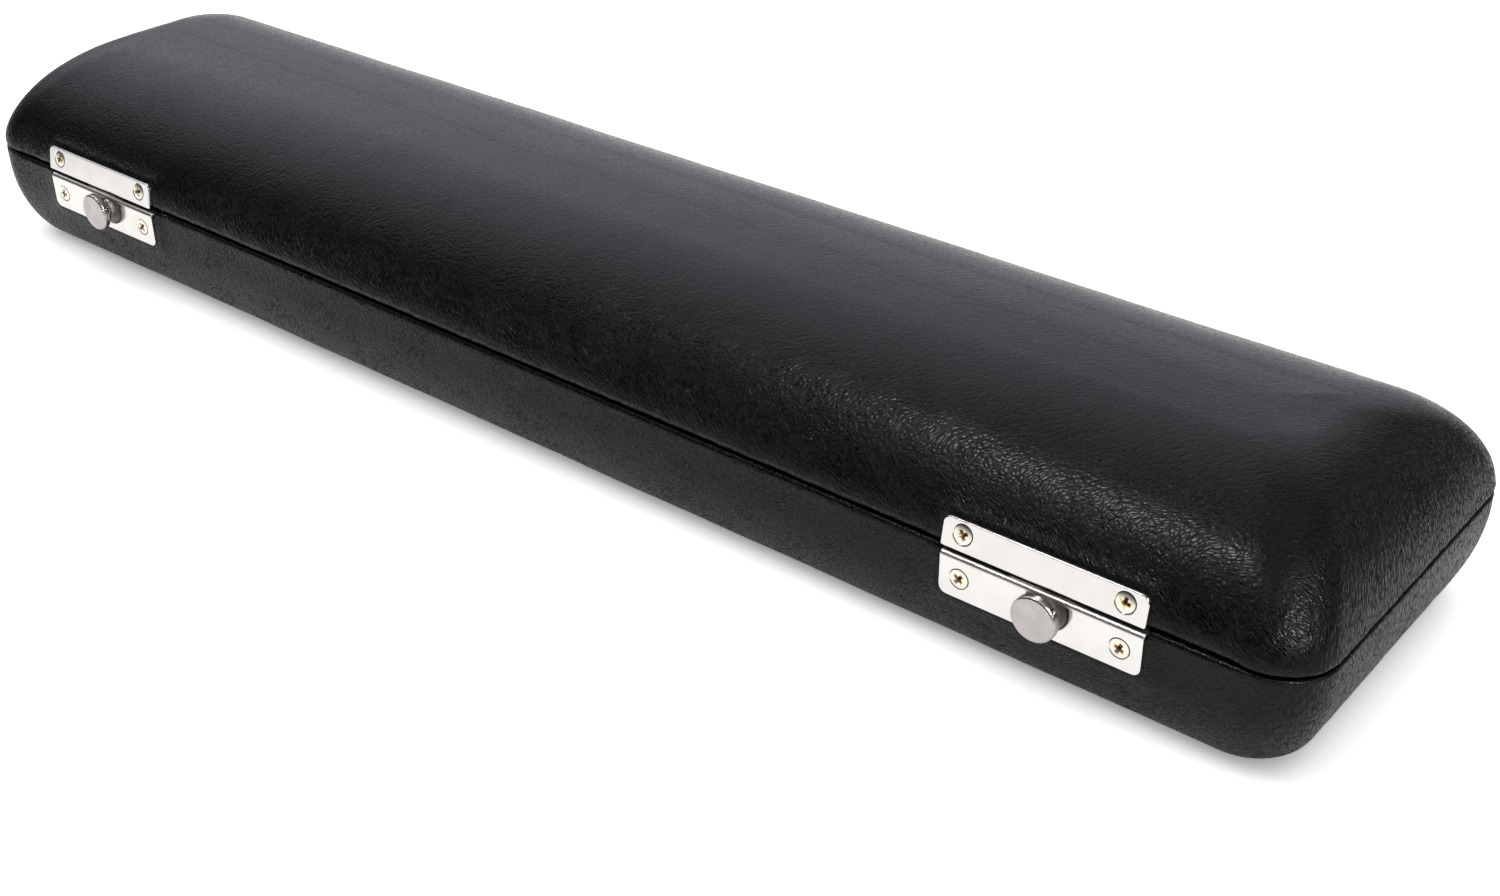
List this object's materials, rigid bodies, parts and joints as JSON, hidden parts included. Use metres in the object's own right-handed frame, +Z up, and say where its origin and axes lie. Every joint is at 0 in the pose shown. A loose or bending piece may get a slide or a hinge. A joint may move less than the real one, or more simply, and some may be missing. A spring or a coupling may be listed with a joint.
{
  "type": "flute case",
  "caption": "Long hard case for a flute taken apart in its joints, leather over wood, with a hinged domed lid, push-button latches and a fitted velvet block.",
  "frame": {"origin": "centre of the flat underside of the base", "axes": "+X along the case, to the right seen from the latch side; -Y is the front with the latches; +Z up through the lid"},
  "size_m": [0.4, 0.0999, 0.0525],
  "materials": {
    "leather": "black pebbled leather, semi-matt",
    "wood": "bare wood",
    "velvet": "short-pile velvet",
    "nickel": "satin nickel plate",
    "screw": "polished nickel plate",
    "steel": "bright steel"
  },
  "bodies": {
    "base": {"base_shell": "wood", "base_cover": "leather", "base_insert": "velvet", "left_latch_plate": "nickel", "left_latch_screw_a": "screw", "left_latch_screw_b": "screw", "right_latch_plate": "nickel", "right_latch_screw_a": "screw", "right_latch_screw_b": "screw", "left_hinge_base_leaf": "nickel", "left_hinge_pin": "steel", "left_hinge_base_screw_a": "screw", "left_hinge_base_screw_b": "screw", "right_hinge_base_leaf": "nickel", "right_hinge_pin": "steel", "right_hinge_base_screw_a": "screw", "right_hinge_base_screw_b": "screw"},
    "lid": {"lid_shell": "wood", "lid_cover": "leather", "lid_lining": "velvet", "lid_pad": "velvet", "left_strike_plate": "nickel", "left_strike_screw_a": "screw", "left_strike_screw_b": "screw", "right_strike_plate": "nickel", "right_strike_screw_a": "screw", "right_strike_screw_b": "screw", "left_hinge_lid_leaf": "nickel", "left_hinge_lid_screw_a": "screw", "left_hinge_lid_screw_b": "screw", "right_hinge_lid_leaf": "nickel", "right_hinge_lid_screw_a": "screw", "right_hinge_lid_screw_b": "screw"},
    "left_button": {"left_push_button": "nickel", "left_catch": "steel", "left_catch_spring": "steel"},
    "right_button": {"right_push_button": "nickel", "right_catch": "steel", "right_catch_spring": "steel"}
  },
  "joints": [
    {"name": "lid_hinge", "type": "hinge", "parent": "base", "child": "lid", "pos_m": [0, 0.0478, 0.0265], "axis": [-1, 0, 0], "range_deg": [0, 105]},
    {"name": "left_button_push", "type": "slide", "parent": "base", "child": "left_button", "axis": [0, 1, 0], "range_m": [0, 0.0011], "stiffness_N_per_m": 1000, "springref_m": -0.0015, "deforming": ["left_catch_spring"]},
    {"name": "right_button_push", "type": "slide", "parent": "base", "child": "right_button", "axis": [0, 1, 0], "range_m": [0, 0.0011], "stiffness_N_per_m": 1000, "springref_m": -0.0015, "deforming": ["right_catch_spring"]}
  ]
}
